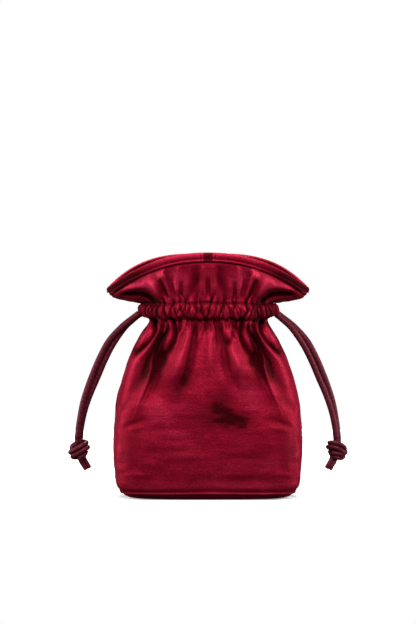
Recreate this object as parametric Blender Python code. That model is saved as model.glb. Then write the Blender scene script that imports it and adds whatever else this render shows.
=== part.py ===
"""A drawstring pouch: two gathered velvet panels on a soft base, a bound mouth, a channel and two doubled cords.

The pouch stands on its base at Z = 0 with its front towards -Y. Lengths are millimetres until a mesh is made.
"""

import math
from collections import namedtuple

import bmesh
import bpy
import numpy as np
from mathutils import Matrix, Vector

MM = 0.001

# Cloth thicknesses, and the gaps that keep the separate pieces apart
VELVET = 1.0
STRIP = 0.8
BINDING = 0.8
BINDING_GAP = 0.4
SIDE_SEAM_GAP = 1.5

# The cloth is lofted through stations. Each one is a ring: its height at the middle of the front and at the side
# seams, its half width, its half depth, and the power of its superellipse (2 is an ellipse, 4 nearly a box).
Station = namedtuple("Station", "middle side width depth power")
BODY = [
    Station(6.0, 6.0, 85.5, 38.0, 4.5),
    Station(12.0, 12.0, 91.0, 41.5, 4.5),
    Station(30.0, 30.0, 92.5, 42.5, 4.4),
    Station(60.0, 60.0, 94.0, 43.0, 3.8),
    Station(100.0, 100.0, 90.5, 41.0, 3.2),
    Station(134.0, 134.0, 80.5, 37.5, 2.8),
    Station(158.0, 158.0, 69.5, 33.0, 2.5),
    Station(172.0, 172.0, 61.0, 29.5, 2.4),
    Station(178.0, 178.5, 59.5, 28.6, 2.3),
    Station(181.5, 181.5, 67.5, 32.6, 2.3),
    Station(187.5, 186.5, 69.5, 33.8, 2.3),
    Station(193.0, 191.5, 68.5, 33.2, 2.3),
    Station(197.0, 194.0, 66.0, 31.2, 2.2),
]
COLLAR = [
    Station(204.0, 195.0, 71.0, 31.0, 2.0),
    Station(218.0, 198.0, 87.0, 32.5, 2.0),
    Station(230.0, 201.5, 97.0, 34.0, 2.0),
    Station(244.4, 208.5, 100.0, 35.0, 2.0),
]
ROWS_PER_STATION = 2
HALF_RING_COLUMNS = 22
BODY_DROP = 2.0  # how late a ring falls from its middle height to its side height
RIM_DROP_FRONT, RIM_DROP_BACK = 2.2, 3.2
BACK_RIM_LOWER = 3.0  # the mouth is this much lower at the middle of the back

# The channel that the cords run in, between the velvet and two inner strips
STRIPS = [
    Station(177.0, 177.5, 57.0, 25.8, 2.3),
    Station(182.0, 182.0, 59.4, 26.2, 2.3),
    Station(188.0, 187.0, 60.2, 26.2, 2.3),
    Station(192.5, 190.5, 60.8, 26.6, 2.3),
    Station(196.5, 193.0, 63.6, 28.6, 2.2),
]
EXIT_HEIGHT = 185.8
EXIT_HALF_DEPTH, EXIT_HALF_HEIGHT = 9.8, 7.8
EXIT_INNER, EXIT_OUTER = 56.0, 80.0

# The base panel: its flat middle, its turn and its seam
BASE = [
    Station(0.0, 0.0, 70.0, 25.0, 3.6),
    Station(1.3, 1.3, 79.0, 33.0, 4.0),
    Station(5.4, 5.4, 85.3, 37.8, 4.5),
]

# The left cord. Each strand runs from its hole in the casing down to the knot. The right cord is the left one
# turned half round, so the two pass each other in the channel, one above the other.
CORD = 5.8
CORD_IN_CHANNEL = 4.3  # the soft cord is squeezed by the gathers
CORD_SIDES = 2  # bevel resolution: 8 sides
CORD_END_GAP = 0.35
CHANNEL_RING = Station(187.4, 186.6, 63.6, 29.3, 2.3)
CHANNEL_LIFT = 2.7
CHANNEL_STEP = 15  # degrees
FRONT_END = (-65.2, -6.6, 188.9)
BACK_END = (-65.0, 6.6, 183.9)
FRONT_STRAND = [
    (-69.2, -4.4, 184.4), (-75.3, -3.6, 179.5), (-85.8, -3.1, 171.2), (-98.7, -2.3, 157.2),
    (-107.4, -1.6, 141.7), (-114.3, -1.5, 126.0), (-120.3, -1.8, 110.1), (-125.2, -2.6, 94.1),
    (-128.7, -3.1, 75.0), (-130.7, -3.3, 58.8),
]  # fmt: skip
BACK_STRAND = [
    (-68.4, 4.4, 182.9), (-75.0, 3.6, 177.6), (-83.8, 3.1, 169.2), (-95.1, 2.3, 152.9),
    (-103.7, 1.6, 136.1), (-110.4, 1.5, 120.3), (-117.5, 1.8, 104.0), (-123.2, 2.6, 87.9),
    (-127.0, 3.1, 71.3), (-128.2, 3.3, 58.8),
]  # fmt: skip
CORD_STEPS = 2  # pieces of the tube between two points of its route

# The knot and its tail, turned about the tail's axis: (distance along the axis, radius)
KNOT_TOP = (-130.4, 0.0, 57.2)
TAIL_TIP = (-120.3, 0.0, 28.4)
KNOT_PROFILE = [
    (0.0, 0.0), (0.3, 3.6), (2.6, 7.2), (6.2, 9.6), (10.4, 10.0), (14.4, 8.2), (17.4, 4.8), (18.2, 3.3),
    (31.2, 3.3), (31.2, 0.0),
]  # fmt: skip
KNOT_SIDES = 20
KNOT_FLATNESS = 0.86  # its depth over its width

COLOURS = {
    "velvet": (0.235, 0.004, 0.017),
    "binding": (0.190, 0.003, 0.014),
    "strip": (0.120, 0.003, 0.011),
    "leather": (0.062, 0.008, 0.016),
}
ROUGHNESS = {"velvet": 0.55, "binding": 0.55, "strip": 0.65, "leather": 0.50}


def clear_scene():
    for obj in list(bpy.data.objects):
        bpy.data.objects.remove(obj)


def make_materials():
    made = {}
    for name, colour in COLOURS.items():
        made[name] = bpy.data.materials.new(name)
        made[name].use_nodes = True
        shader = made[name].node_tree.nodes["Principled BSDF"]
        shader.inputs["Base Color"].default_value = (*colour, 1.0)
        shader.inputs["Roughness"].default_value = ROUGHNESS[name]
        shader.inputs["Metallic"].default_value = 0.0
    return made


def add_object(name, data, finish=None):
    obj = bpy.data.objects.new(name, data)
    bpy.context.scene.collection.objects.link(obj)
    if finish:
        obj.data.materials.append(finish)
    return obj


def to_mesh(bm, name):
    """Turn a bmesh in millimetres into a smooth mesh in metres."""
    bmesh.ops.scale(bm, vec=(MM, MM, MM), verts=bm.verts)
    mesh = bpy.data.meshes.new(name)
    bm.to_mesh(mesh)
    bm.free()
    mesh.shade_smooth()
    mesh.set_sharp_from_angle(angle=math.radians(50.0))
    return mesh


def thicken(obj, thickness, offset):
    solidify = obj.modifiers.new("thickness", "SOLIDIFY")
    solidify.thickness = thickness * MM
    solidify.offset = offset
    solidify.use_even_offset = True


def smooth_curve(points, steps):
    """Points on a Catmull-Rom curve through the given ones, with so many steps between two of them."""
    made = []
    last = len(points) - 1
    for i in range(last):
        before, start, end, after = (Vector(points[min(max(i + d, 0), last)]) for d in (-1, 0, 1, 2))
        for k in range(steps):
            t = k / steps
            made.append(
                start
                + 0.5 * t * (end - before)
                + t**2 * (before - 2.5 * start + 2.0 * end - 0.5 * after)
                + 0.5 * t**3 * (3.0 * start - before - 3.0 * end + after)
            )
    return made + [Vector(points[last])]


def smooth_stations(stations):
    """The rows of a loft: each field of its stations, read from a smooth curve."""
    fields = []
    for values in zip(*stations):
        curve = smooth_curve([(value, 0.0, 0.0) for value in values], ROWS_PER_STATION)
        fields.append([point.x for point in curve])
    return [Station(*row) for row in zip(*fields)]


def half_ring(station, drop, side):
    """One half of a ring, evenly divided: side -1 is the front, left to right; +1 is the back, right to left."""
    angle = np.linspace(0.0, math.pi, 40 * HALF_RING_COLUMNS + 1)
    power = 2.0 / station.power
    x = -station.width * np.sign(np.cos(angle)) * np.abs(np.cos(angle)) ** power
    y = -station.depth * np.abs(np.sin(angle)) ** power
    reach = np.concatenate(([0.0], np.cumsum(np.hypot(np.diff(x), np.diff(y)))))
    even = np.linspace(0.0, reach[-1], HALF_RING_COLUMNS + 1)
    points = []
    for px, py in zip(np.interp(even, reach, x), np.interp(even, reach, y)):
        fall = abs(px / station.width) ** drop
        height = station.middle + (station.side - station.middle) * fall
        points.append(Vector((-side * px, side * -py, height)))
    return points


def wrap_grid(rows):
    """A grid laid through the rows of points, its faces turned outwards."""
    bm = bmesh.new()
    last_row, last_column = len(rows) - 1, len(rows[0]) - 1
    bmesh.ops.create_grid(bm, x_segments=last_column, y_segments=last_row, size=1.0)
    for vert in bm.verts:
        column = round((vert.co.x + 1.0) / 2.0 * last_column)
        row = round((vert.co.y + 1.0) / 2.0 * last_row)
        vert.co = rows[row][column]
    return bm


def shell_rows(side):
    """The outer face of one panel, from the base seam to the mouth."""
    stations = smooth_stations(BODY + COLLAR)
    neck = ROWS_PER_STATION * (len(BODY) - 1)
    rim_drop = RIM_DROP_FRONT if side < 0 else RIM_DROP_BACK
    rows = []
    for k, station in enumerate(stations):
        flare = max(0.0, (k - neck) / (len(stations) - 1 - neck))
        if side > 0:
            station = station._replace(middle=station.middle - BACK_RIM_LOWER * flare)
        rows.append(half_ring(station, BODY_DROP + (rim_drop - BODY_DROP) * flare, side))
    return rows


def open_seam(rows, side):
    """Move the two side edges back from the seam, so that the panels don't touch."""
    for row in rows:
        for edge in (row[0], row[-1]):
            edge.y = side * SIDE_SEAM_GAP / 2.0
    return rows


def make_exit_cutter():
    """Two round-ended holes through the sides of the casing, where the cords leave."""
    bm = bmesh.new()
    for side in (-1, 1):
        turn = Matrix.Rotation(math.pi / 2.0, 4, "Y")
        shape = Matrix.Diagonal((1.0, EXIT_HALF_DEPTH, EXIT_HALF_HEIGHT, 1.0))
        place = Matrix.Translation((side * (EXIT_INNER + EXIT_OUTER) / 2.0, 0.0, EXIT_HEIGHT))
        bmesh.ops.create_cone(
            bm, cap_ends=True, segments=24, radius1=1.0, radius2=1.0,
            depth=EXIT_OUTER - EXIT_INNER, matrix=place @ shape @ turn,
        )  # fmt: skip
    cutter = add_object("exit_cutter", to_mesh(bm, "exit_cutter"))
    cutter.hide_render = True
    cutter.display_type = "WIRE"
    return cutter


def make_panel(name, side, cutter, finish):
    rows = open_seam(shell_rows(side), side)
    panel = add_object(name, to_mesh(wrap_grid(rows), name), finish)
    thicken(panel, VELVET, -1.0)
    cut = panel.modifiers.new("cord exits", "BOOLEAN")
    cut.operation = "DIFFERENCE"
    cut.solver = "EXACT"
    cut.object = cutter


def make_strip(name, side, finish):
    rows = open_seam([half_ring(s, BODY_DROP, side) for s in smooth_stations(STRIPS)], side)
    strip = add_object(name, to_mesh(wrap_grid(rows), name), finish)
    thicken(strip, STRIP, -1.0)


def make_base(finish):
    rows = [half_ring(s, BODY_DROP, -1)[:-1] + half_ring(s, BODY_DROP, 1) for s in BASE]
    bm = wrap_grid(rows)
    bmesh.ops.remove_doubles(bm, verts=bm.verts, dist=0.001)
    flat = [e for e in bm.edges if e.is_boundary and all(v.co.z < 0.01 for v in e.verts)]
    bmesh.ops.contextual_create(bm, geom=flat)
    bmesh.ops.recalc_face_normals(bm, faces=bm.faces)
    if min(bm.faces, key=lambda face: face.calc_center_median().z).normal.z > 0.0:
        bmesh.ops.reverse_faces(bm, faces=bm.faces)
    base = add_object("base_panel", to_mesh(bm, "base_panel"), finish)
    thicken(base, VELVET, -1.0)


def binding_section(edge, below, along):
    """The middle line of the folded strip at one place on the rim, from outside, over the edge, to inside."""
    up = edge - below
    depth = up.length - BINDING_GAP
    up.normalize()
    out = along.cross(up).normalized()
    outer = BINDING_GAP + BINDING / 2.0
    inner = -VELVET - outer
    line = [(outer, -depth), (outer, BINDING_GAP), (-VELVET / 2.0, outer + BINDING), (inner, BINDING_GAP)]
    line.append((inner, -depth))
    return [edge + out * across + up * rise for across, rise in line]


def make_binding(finish):
    fronts, backs = shell_rows(-1), shell_rows(1)
    edge, below = (fronts[k][:-1] + backs[k][:-1] for k in (-1, -2))
    count = len(edge)
    sections = []
    for k in range(count):
        along = edge[(k + 1) % count] - edge[k - 1]
        sections.append(binding_section(edge[k], below[k], along))
    rows = [list(row) for row in zip(*(sections + sections[:1]))]
    bm = wrap_grid(rows)
    bmesh.ops.remove_doubles(bm, verts=bm.verts, dist=0.001)
    binding = add_object("rim_binding", to_mesh(bm, "rim_binding"), finish)
    thicken(binding, BINDING, 0.0)


def channel_route():
    """The left cord inside the channel: along the front, round the far side and back behind."""
    ring, power = CHANNEL_RING, 2.0 / CHANNEL_RING.power
    route = []
    for degrees in range(CHANNEL_STEP, 360, CHANNEL_STEP):
        c, s = math.cos(math.radians(degrees)), math.sin(math.radians(degrees))
        x = -ring.width * math.copysign(abs(c) ** power, c)
        y = -ring.depth * math.copysign(abs(s) ** power, s)
        lift = 0.0 if degrees == 180 else math.copysign(CHANNEL_LIFT, s)
        height = ring.middle + (ring.side - ring.middle) * (x / ring.width) ** 2
        route.append((x, y, height + lift))
    return route


def make_tube(name, points, turn, finish, thickness=CORD):
    """A round tube with flat ends, each drawn back a little from the piece that it meets."""
    points = [Vector(point) for point in points]
    for end, inner in ((0, 1), (-1, -2)):
        points[end] = points[end] + (points[inner] - points[end]).normalized() * CORD_END_GAP
    data = bpy.data.curves.new(name, "CURVE")
    data.dimensions = "3D"
    data.bevel_depth = thickness / 2.0 * MM
    data.bevel_resolution = CORD_SIDES
    data.use_fill_caps = True
    spline = data.splines.new("POLY")
    spline.points.add(len(points) - 1)
    for knot, point in zip(spline.points, points):
        knot.co = (*(turn @ point * MM), 1.0)
    add_object(name, data, finish)


def make_cord(side_name, turn, finish):
    front = list(reversed(FRONT_STRAND))
    middle = [FRONT_END, *channel_route(), BACK_END]
    curve = smooth_curve(front + middle + BACK_STRAND, CORD_STEPS)
    leave = CORD_STEPS * (len(front) - 1)
    enter = CORD_STEPS * (len(front) + len(middle))
    make_tube(f"{side_name}_cord_front_strand", curve[: leave + 1], turn, finish)
    make_tube(f"{side_name}_cord_in_channel", curve[leave : enter + 1], turn, finish, CORD_IN_CHANNEL)
    make_tube(f"{side_name}_cord_back_strand", curve[enter:], turn, finish)


def make_knot(side_name, turn, finish):
    """A turned ball with its square-cut tail, a little flattened from front to back."""
    bm = bmesh.new()
    verts = [bm.verts.new((radius, 0.0, -along)) for along, radius in KNOT_PROFILE]
    edges = [bm.edges.new(pair) for pair in zip(verts, verts[1:])]
    bmesh.ops.spin(
        bm, geom=verts + edges, cent=(0.0, 0.0, 0.0), axis=(0.0, 0.0, 1.0), angle=2.0 * math.pi,
        steps=KNOT_SIDES, use_merge=True,
    )  # fmt: skip
    bmesh.ops.remove_doubles(bm, verts=bm.verts, dist=0.001)
    bmesh.ops.scale(bm, vec=(1.0, KNOT_FLATNESS, 1.0), verts=bm.verts)
    axis = Vector(KNOT_TOP) - Vector(TAIL_TIP)
    lean = Vector((0.0, 0.0, 1.0)).rotation_difference(axis).to_matrix().to_4x4()
    bmesh.ops.transform(bm, matrix=turn @ Matrix.Translation(KNOT_TOP) @ lean, verts=bm.verts)
    bmesh.ops.recalc_face_normals(bm, faces=bm.faces)
    add_object(f"{side_name}_knot", to_mesh(bm, f"{side_name}_knot"), finish)


def main():
    clear_scene()
    finishes = make_materials()
    cutter = make_exit_cutter()
    for name, side in (("front", -1), ("back", 1)):
        make_panel(f"{name}_panel", side, cutter, finishes["velvet"])
        make_strip(f"{name}_casing_strip", side, finishes["strip"])
    make_base(finishes["velvet"])
    make_binding(finishes["binding"])
    half_turn = Matrix.Rotation(math.pi, 4, "Z")
    for name, turn in (("left", Matrix.Identity(4)), ("right", half_turn)):
        make_cord(name, turn, finishes["leather"])
        make_knot(name, turn, finishes["leather"])


main()
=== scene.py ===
import math

import bmesh
import bpy
import numpy as np
from mathutils import Matrix, Vector


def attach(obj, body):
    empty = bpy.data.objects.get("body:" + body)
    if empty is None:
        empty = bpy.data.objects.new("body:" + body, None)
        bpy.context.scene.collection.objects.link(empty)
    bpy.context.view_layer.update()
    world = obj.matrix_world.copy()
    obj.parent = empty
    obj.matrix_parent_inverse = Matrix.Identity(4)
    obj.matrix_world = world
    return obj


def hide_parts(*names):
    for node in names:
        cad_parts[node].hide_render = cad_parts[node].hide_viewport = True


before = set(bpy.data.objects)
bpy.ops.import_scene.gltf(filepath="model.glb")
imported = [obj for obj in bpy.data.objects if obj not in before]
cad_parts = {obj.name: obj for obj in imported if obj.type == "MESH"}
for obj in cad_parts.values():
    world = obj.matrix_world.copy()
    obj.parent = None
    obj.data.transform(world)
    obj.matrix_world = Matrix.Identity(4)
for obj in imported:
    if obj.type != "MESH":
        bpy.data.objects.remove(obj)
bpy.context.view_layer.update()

# Drawstring pouch in red velvet: a gathered shell with folds, a bound rim, doubled leather cords and knots.
# Lengths are in millimetres, turned into metres when a mesh is made; lights and floor are in metres.
mm = 0.001


def smoothStep(value):
    value = np.clip(value, 0.0, 1.0)
    return value * value * (3.0 - 2.0 * value)


def bell(value):
    return np.exp(-value * value)


def smoothCurve(points, steps):
    # Catmull-Rom through the points; steps is one number or one for each span
    points = np.array(points, float)
    if isinstance(steps, int):
        steps = [steps] * (len(points) - 1)
    padded = np.vstack([points[:1], points, points[-1:]])
    spans = []
    for k, count in enumerate(steps):
        before, start, end, after = padded[k:k + 4]
        t = np.arange(count)[:, None] / count
        spans.append(start + 0.5 * t * (end - before)
                     + t ** 2 * (before - 2.5 * start + 2.0 * end - 0.5 * after)
                     + 0.5 * t ** 3 * (3.0 * start - before - 3.0 * end + after))
    return np.vstack(spans + [points[-1:]])


def softNoise(a, b, cellA, cellB, seed):
    # smooth random field from -1 to 1 with cells of the given size
    lattice = np.random.default_rng(seed).uniform(-1.0, 1.0, (128, 128))
    x, y = a / cellA + 64.0, b / cellB + 64.0
    i, j = np.floor(x).astype(int), np.floor(y).astype(int)
    u, v = smoothStep(x - i), smoothStep(y - j)
    i, j = i % 127, j % 127
    low = lattice[i, j] * (1 - u) + lattice[i + 1, j] * u
    high = lattice[i, j + 1] * (1 - u) + lattice[i + 1, j + 1] * u
    return low * (1 - v) + high * v


def gridMesh(points, napAndShade=None):
    # a grid operator's mesh laid through rows of points, with its own UV map and a value of nap tone and
    # painted shade
    lastRow, lastColumn = points.shape[0] - 1, points.shape[1] - 1
    bm = bmesh.new()
    bm.loops.layers.uv.new("UVMap")
    napAndShadeLayer = bm.verts.layers.float.new("napAndShade")
    bmesh.ops.create_grid(bm, x_segments=lastColumn, y_segments=lastRow, size=1.0, calc_uvs=True)
    for vert in bm.verts:
        column = round((vert.co.x + 1.0) / 2.0 * lastColumn)
        row = round((vert.co.y + 1.0) / 2.0 * lastRow)
        vert.co = points[row, column] * mm
        if napAndShade is not None:
            vert[napAndShadeLayer] = napAndShade[row, column]
    return bm


def finishPiece(name, bm, material, nodes=()):
    mesh = bpy.data.meshes.new(name)
    bm.to_mesh(mesh)
    bm.free()
    mesh.shade_smooth()
    piece = bpy.data.objects.new(name, mesh)
    bpy.context.scene.collection.objects.link(piece)
    mesh.materials.append(material)
    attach(piece, "root")
    if nodes:
        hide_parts(*nodes)
    return piece


def giveThickness(piece, thickness):
    solid = piece.modifiers.new("cloth thickness", "SOLIDIFY")
    solid.thickness = thickness * mm
    solid.offset = -1.0  # inwards
    solid.use_even_offset = False


def tubeRings(path, radius, sides):
    # rings of points round a path, carried along it without twisting
    path = np.array(path, float)
    tangent = np.gradient(path, axis=0)
    tangent /= np.linalg.norm(tangent, axis=1)[:, None]
    radius = np.broadcast_to(radius, len(path))
    across = np.cross(tangent[0], (0.0, 1.0, 0.0))
    rings = []
    angle = np.linspace(0.0, 2.0 * math.pi, sides + 1)
    for k, centre in enumerate(path):
        across = across - tangent[k] * np.dot(across, tangent[k])
        across /= np.linalg.norm(across)
        third = np.cross(tangent[k], across)
        rings.append(centre + radius[k] * (np.cos(angle)[:, None] * across + np.sin(angle)[:, None] * third))
    return np.array(rings)


def capLoops(bm):
    # close the open ends of a tube with a flat cap, then face everything outwards
    bmesh.ops.remove_doubles(bm, verts=bm.verts, dist=0.000002)
    bmesh.ops.holes_fill(bm, edges=[e for e in bm.edges if e.is_boundary], sides=0)
    bmesh.ops.recalc_face_normals(bm, faces=bm.faces)


view = {
    "target": (0.0, 0.0, 185.4), "distance": 3000.0, "elevation": 3.0,
    "frameHeight": 624.0, "sensor": 36.0,
}
studio = {
    "seen": 1.0, "fill": 0.05,
    # place, what height it points at, width and height, watts
    "left softbox": ((-1.0, -0.08, 0.3), 0.13, (0.3, 0.9), 12.0),
    "right softbox": ((1.0, -0.08, 0.3), 0.13, (0.3, 0.9), 12.0),
    "key softbox": ((0.0, -1.15, 0.95), 0.12, (0.5, 0.35), 26.0),
    "back softbox": ((0.0, 1.15, 0.95), 0.12, (0.6, 0.4), 12.0),
    "top softbox": ((0.0, -0.15, 1.3), 0.12, (0.9, 0.5), 14.0),
}
paperFloor = {
    "radius": 0.75, "paper": (0.95, 0.95, 0.955, 1.0), "glow": 0.4, "roughness": 0.9,
    "thrownBack": (0.10, 0.10, 0.10, 1.0),
}
white = (1.0, 1.0, 1.0, 1.0)


def makeCamera():
    data = bpy.data.cameras.new("camera")
    data.sensor_width = view["sensor"]
    data.lens = view["sensor"] * view["distance"] / view["frameHeight"]
    data.clip_end = 50.0
    camera = bpy.data.objects.new("camera", data)
    bpy.context.scene.collection.objects.link(camera)
    tilt = math.radians(view["elevation"])
    away = Vector((0.0, -math.cos(tilt), math.sin(tilt))) * view["distance"]
    camera.location = (Vector(view["target"]) + away) * mm
    camera.rotation_euler = (math.pi / 2.0 - tilt, 0.0, 0.0)
    bpy.context.scene.camera = camera


def makeSoftbox(name, place, height, size, watts):
    data = bpy.data.lights.new(name, "AREA")
    data.shape = "RECTANGLE"
    data.size, data.size_y = size
    data.energy = watts
    light = bpy.data.objects.new(name, data)
    bpy.context.scene.collection.objects.link(light)
    light.location = place
    light.rotation_euler = (Vector((0.0, 0.0, height)) - Vector(place)).to_track_quat("-Z", "Y").to_euler()


def makeStudio():
    # a white surround for the camera, and a faint one for everything else
    scene = bpy.context.scene
    scene.view_settings.view_transform = "Standard"
    world = bpy.data.worlds.new("studio")
    scene.world = world
    world.use_nodes = True
    nodes, links = world.node_tree.nodes, world.node_tree.links
    nodes.clear()
    output = nodes.new("ShaderNodeOutputWorld")
    mix = nodes.new("ShaderNodeMixShader")
    rays = nodes.new("ShaderNodeLightPath")
    links.new(rays.outputs["Is Camera Ray"], mix.inputs["Fac"])
    for socket, strength in ((1, studio["fill"]), (2, studio["seen"])):
        surround = nodes.new("ShaderNodeBackground")
        surround.inputs["Color"].default_value = white
        surround.inputs["Strength"].default_value = strength
        links.new(surround.outputs[0], mix.inputs[socket])
    links.new(mix.outputs[0], output.inputs["Surface"])
    for name in studio:
        if name.endswith("softbox"):
            makeSoftbox(name, *studio[name])


def makeFloor():
    bm = bmesh.new()
    bmesh.ops.create_circle(bm, cap_ends=True, radius=paperFloor["radius"], segments=96)
    mesh = bpy.data.meshes.new("floor")
    bm.to_mesh(mesh)
    bm.free()
    floor = bpy.data.objects.new("floor", mesh)
    bpy.context.scene.collection.objects.link(floor)
    material = bpy.data.materials.new("pale floor")
    material.use_nodes = True
    nodes, links = material.node_tree.nodes, material.node_tree.links
    shader = nodes["Principled BSDF"]  # the white paper that is seen
    shader.inputs["Base Color"].default_value = paperFloor["paper"]
    shader.inputs["Roughness"].default_value = paperFloor["roughness"]
    shader.inputs["Specular IOR Level"].default_value = 0.0
    shader.inputs["Emission Color"].default_value = white
    shader.inputs["Emission Strength"].default_value = paperFloor["glow"]
    quiet = nodes.new("ShaderNodeBsdfDiffuse")  # what it throws back on to the pouch
    quiet.inputs["Color"].default_value = paperFloor["thrownBack"]
    rays, mix = nodes.new("ShaderNodeLightPath"), nodes.new("ShaderNodeMixShader")
    links.new(rays.outputs["Is Camera Ray"], mix.inputs["Fac"])
    links.new(quiet.outputs[0], mix.inputs[1])
    links.new(shader.outputs[0], mix.inputs[2])
    links.new(mix.outputs[0], nodes["Material Output"].inputs["Surface"])
    mesh.materials.append(material)


print("camera, studio and floor")
makeCamera()
makeStudio()
makeFloor()


def newMaterial(name):
    material = bpy.data.materials.new(name)
    material.use_nodes = True
    return material, material.node_tree.nodes, material.node_tree.links


def addNoise(nodes, links, source, scale, detail, squash=1.0):
    # a large squash flattens the pattern into level strokes
    mapping = nodes.new("ShaderNodeMapping")
    mapping.inputs["Scale"].default_value = (1.0, 1.0, squash)
    links.new(source, mapping.inputs["Vector"])
    noise = nodes.new("ShaderNodeTexNoise")
    noise.inputs["Scale"].default_value = scale
    noise.inputs["Detail"].default_value = detail
    links.new(mapping.outputs["Vector"], noise.inputs["Vector"])
    return noise.outputs["Fac"]


def addMath(nodes, links, kind, first, second, third=None):
    node = nodes.new("ShaderNodeMath")
    node.operation = kind
    for socket, value in zip(node.inputs, (first, second, third)):
        if value is None:
            continue
        if isinstance(value, (int, float)):
            socket.default_value = value
        else:
            links.new(value, socket)
    return node.outputs[0]


def addRamp(nodes, links, source, stops):
    ramp = nodes.new("ShaderNodeValToRGB")
    elements = ramp.color_ramp.elements
    while len(elements) < len(stops):
        elements.new(0.5)
    for element, (place, colour) in zip(elements, stops):
        element.position = place
        element.color = (*colour, 1.0)
    links.new(source, ramp.inputs["Fac"])
    return ramp.outputs["Color"]


def addBump(nodes, links, height, strength, distance, shader):
    bump = nodes.new("ShaderNodeBump")
    bump.inputs["Strength"].default_value = strength
    bump.inputs["Distance"].default_value = distance * mm
    links.new(height, bump.inputs["Height"])
    links.new(bump.outputs["Normal"], shader.inputs["Normal"])


velvetLook = {
    "dark": (0.020, 0.0001, 0.0008), "middle": (0.165, 0.0025, 0.0125), "light": (0.36, 0.016, 0.046),
    "sheenTint": (1.0, 0.06, 0.13, 1.0), "sheenWeight": 0.14, "sheenRoughness": 0.3,
    "specularTint": (1.0, 0.10, 0.16, 1.0), "roughness": 0.47, "specular": 0.15, "metallic": 0.45,
    "shadeAlone": 0.04, "cloudShare": 0.30, "streakShare": 0.20, "grainShare": 0.42,
    "stops": (0.0, 0.48, 0.95), "shineFrom": -0.08, "shineTo": 0.42, "mattShare": 0.35, "bump": 0.5,
}


def makeVelvet(name, look):
    material, nodes, links = newMaterial(name)
    shader = nodes["Principled BSDF"]
    place = nodes.new("ShaderNodeTexCoord").outputs["Object"]
    napAndShade = nodes.new("ShaderNodeAttribute")
    napAndShade.attribute_name = "napAndShade"
    cloud = addNoise(nodes, links, place, 26.0, 4.0, 1.5)
    streak = addNoise(nodes, links, place, 34.0, 7.0, 6.0)
    grain = addNoise(nodes, links, place, 620.0, 3.0)
    pile = addNoise(nodes, links, place, 1500.0, 2.0)
    tone = addMath(nodes, links, "MULTIPLY_ADD", cloud, look["cloudShare"], look["shadeAlone"])
    tone = addMath(nodes, links, "MULTIPLY_ADD", streak, look["streakShare"], tone)
    tone = addMath(nodes, links, "MULTIPLY_ADD", grain, look["grainShare"], tone)
    # the attribute brings the brushed pile's tone and the painted shade and painted highlight of folds,
    # gathers, seams, binding and patches
    tone = addMath(nodes, links, "ADD", tone, napAndShade.outputs["Fac"])
    colours = (look["dark"], look["middle"], look["light"])
    links.new(addRamp(nodes, links, tone, list(zip(look["stops"], colours))), shader.inputs["Base Color"])
    shine = nodes.new("ShaderNodeMapRange")  # less gloss where the tone is dark, from the painted shade and the darker pile
    shine.inputs["From Min"].default_value = look["shineFrom"]
    shine.inputs["From Max"].default_value = look["shineTo"]
    links.new(tone, shine.inputs["Value"])
    shine = shine.outputs["Result"]
    matt = addMath(nodes, links, "SUBTRACT", 1.0, shine)
    rough = addMath(nodes, links, "MULTIPLY_ADD", cloud, 0.18, look["roughness"] - 0.09)
    rough = addMath(nodes, links, "MULTIPLY_ADD", matt, look["mattShare"], rough)
    links.new(rough, shader.inputs["Roughness"])
    links.new(addMath(nodes, links, "MULTIPLY", shine, look["metallic"]), shader.inputs["Metallic"])
    shader.inputs["Specular IOR Level"].default_value = look["specular"]
    shader.inputs["Specular Tint"].default_value = look["specularTint"]
    shader.inputs["Sheen Weight"].default_value = look["sheenWeight"]
    shader.inputs["Sheen Roughness"].default_value = look["sheenRoughness"]
    shader.inputs["Sheen Tint"].default_value = look["sheenTint"]
    height = addMath(nodes, links, "MULTIPLY_ADD", streak, 0.8, grain)
    height = addMath(nodes, links, "MULTIPLY_ADD", pile, 0.5, height)
    addBump(nodes, links, height, look["bump"], 0.6, shader)
    return material


leatherLook = {
    "dark": (0.015, 0.0010, 0.003), "light": (0.095, 0.006, 0.015), "roughness": 0.5, "ribs": 70.0,
    "specularTint": (1.0, 0.33, 0.38, 1.0), "specular": 0.35, "bump": 0.45,
}


def makeLeather(name, look):
    # fine ribs across the cord follow its own UV map, whose V runs along it
    material, nodes, links = newMaterial(name)
    shader = nodes["Principled BSDF"]
    coordinates = nodes.new("ShaderNodeTexCoord")
    place = coordinates.outputs["Object"]
    wave = nodes.new("ShaderNodeTexWave")
    wave.wave_type = "BANDS"
    wave.bands_direction = "Y"
    wave.inputs["Scale"].default_value = look["ribs"]
    wave.inputs["Distortion"].default_value = 1.2
    wave.inputs["Detail"].default_value = 2.0
    links.new(coordinates.outputs["UV"], wave.inputs["Vector"])
    blotch = addNoise(nodes, links, place, 180.0, 4.0)
    crackle = addNoise(nodes, links, place, 900.0, 3.0)
    tone = addMath(nodes, links, "MULTIPLY_ADD", blotch, 0.7, 0.1)
    tone = addMath(nodes, links, "MULTIPLY_ADD", wave.outputs["Fac"], 0.10, tone)
    colour = addRamp(nodes, links, tone, [(0.2, look["dark"]), (0.85, look["light"])])
    links.new(colour, shader.inputs["Base Color"])
    rough = addMath(nodes, links, "MULTIPLY_ADD", crackle, 0.2, look["roughness"] - 0.1)
    links.new(rough, shader.inputs["Roughness"])
    shader.inputs["Specular IOR Level"].default_value = look["specular"]
    shader.inputs["Specular Tint"].default_value = look["specularTint"]
    height = addMath(nodes, links, "MULTIPLY_ADD", crackle, 0.6, wave.outputs["Fac"])
    addBump(nodes, links, height, look["bump"], 0.3, shader)
    return material


bindingLook = dict(velvetLook, sheenWeight=0.22)
casingLook = dict(
    velvetLook, dark=(0.02, 0.0002, 0.001), middle=(0.06, 0.0006, 0.004), light=(0.10, 0.002, 0.008),
    sheenWeight=0.12)
threadLook = dict(
    velvetLook, dark=(0.06, 0.001, 0.004), middle=(0.20, 0.005, 0.018), light=(0.40, 0.03, 0.06),
    sheenWeight=0.1)

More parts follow.
